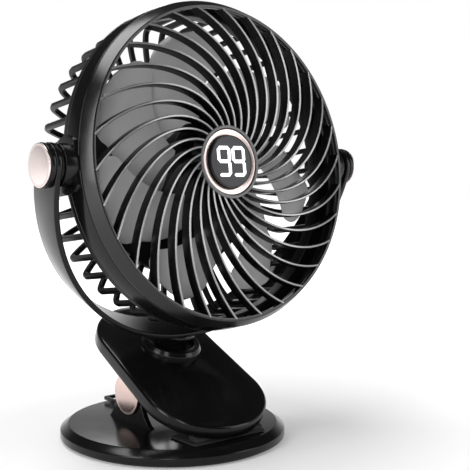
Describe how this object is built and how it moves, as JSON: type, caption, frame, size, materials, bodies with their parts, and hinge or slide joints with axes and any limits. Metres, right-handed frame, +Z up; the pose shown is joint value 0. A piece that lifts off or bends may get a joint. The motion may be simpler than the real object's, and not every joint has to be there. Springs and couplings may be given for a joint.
{
  "type": "clip fan",
  "caption": "Rechargeable clip fan: a round base with a sprung clip jaw, a swivelling half-ring yoke and a tilting head with a swirl grille.",
  "frame": {"origin": "centre of the foot pad's underside, on the table", "axes": "+Z up, the fan's front towards -Y, +X to the right as seen from the front"},
  "size_m": [0.201, 0.125, 0.2347],
  "materials": {
    "gloss_black": "moulded gloss black ABS",
    "satin_black": "fine satin black plastic",
    "spoke_black": "semi-gloss black plastic",
    "fan_grey": "smooth grey plastic",
    "rose_gold": "spun rose-gold anodised disc",
    "rubber_black": "matt black rubber",
    "lens_black": "polished smoke-tinted acrylic",
    "steel": "bright zinc-plated steel",
    "board_green": "green circuit board",
    "copper": "varnished copper windings on a steel core",
    "pouch_silver": "aluminium pouch foil"
  },
  "bodies": {
    "base": {"foot_pad": "rubber_black", "base_pan": "satin_black", "base_cover": "gloss_black", "battery_cell": "pouch_silver", "charge_board": "board_green", "usb_socket": "steel", "lower_jaw_pad": "rubber_black", "hinge_pin": "steel", "hinge_cap_left": "rose_gold", "hinge_cap_right": "rose_gold", "jaw_spring": "steel"},
    "bail": {"hang_bail": "satin_black"},
    "upper_jaw": {"jaw_cover": "gloss_black", "jaw_frame": "satin_black", "upper_jaw_pad": "rubber_black", "swivel_collar": "gloss_black"},
    "yoke": {"yoke": "gloss_black", "swivel_screw": "steel", "tilt_knob_left": "gloss_black", "tilt_knob_right": "gloss_black", "tilt_bolt_left": "steel", "tilt_bolt_right": "steel", "tilt_cap_left": "rose_gold", "tilt_cap_right": "rose_gold"},
    "head": {"fan_band": "gloss_black", "front_grille": "spoke_black", "rear_grille": "satin_black", "rear_hub_cover": "satin_black", "control_board": "board_green", "motor_stator": "copper", "bearing_front": "steel", "bearing_rear": "steel", "display_board": "board_green", "display_lens": "lens_black", "display_bezel": "rose_gold", "tilt_washer_left": "satin_black", "tilt_washer_right": "satin_black"},
    "impeller": {"impeller": "fan_grey", "rotor_ring": "steel", "fan_shaft": "steel"},
    "button": {"power_button": "satin_black"}
  },
  "joints": [
    {"name": "jaw_hinge", "type": "hinge", "parent": "base", "child": "upper_jaw", "pos_m": [0, 0.01, 0.024], "axis": [-1, 0, 0], "range_deg": [0, 35], "stiffness_Nm_per_rad": 0.8, "springref_deg": -68.75, "deforming": ["jaw_spring"]},
    {"name": "yoke_swivel", "type": "hinge", "parent": "upper_jaw", "child": "yoke", "pos_m": [0, 0.00186, 0.04982], "axis": [0, -0.3338, 0.9426], "range_deg": [-180, 180]},
    {"name": "head_tilt", "type": "hinge", "parent": "yoke", "child": "head", "pos_m": [0, -0.03349, 0.14964], "axis": [1, 0, 0], "range_deg": [-90, 90]},
    {"name": "fan_spin", "type": "hinge", "parent": "head", "child": "impeller", "pos_m": [0, -0.03349, 0.14964], "axis": [0, -0.9914, 0.1305], "continuous": true},
    {"name": "power_press", "type": "slide", "parent": "head", "child": "button", "axis": [0, -0.9914, 0.1305], "range_m": [0, 0.001], "stiffness_N_per_m": 800, "springref_m": -0.0008},
    {"name": "bail_swing", "type": "hinge", "parent": "base", "child": "bail", "pos_m": [0, 0.0436, 0.0103], "axis": [1, 0, 0], "range_deg": [0, 120]}
  ]
}
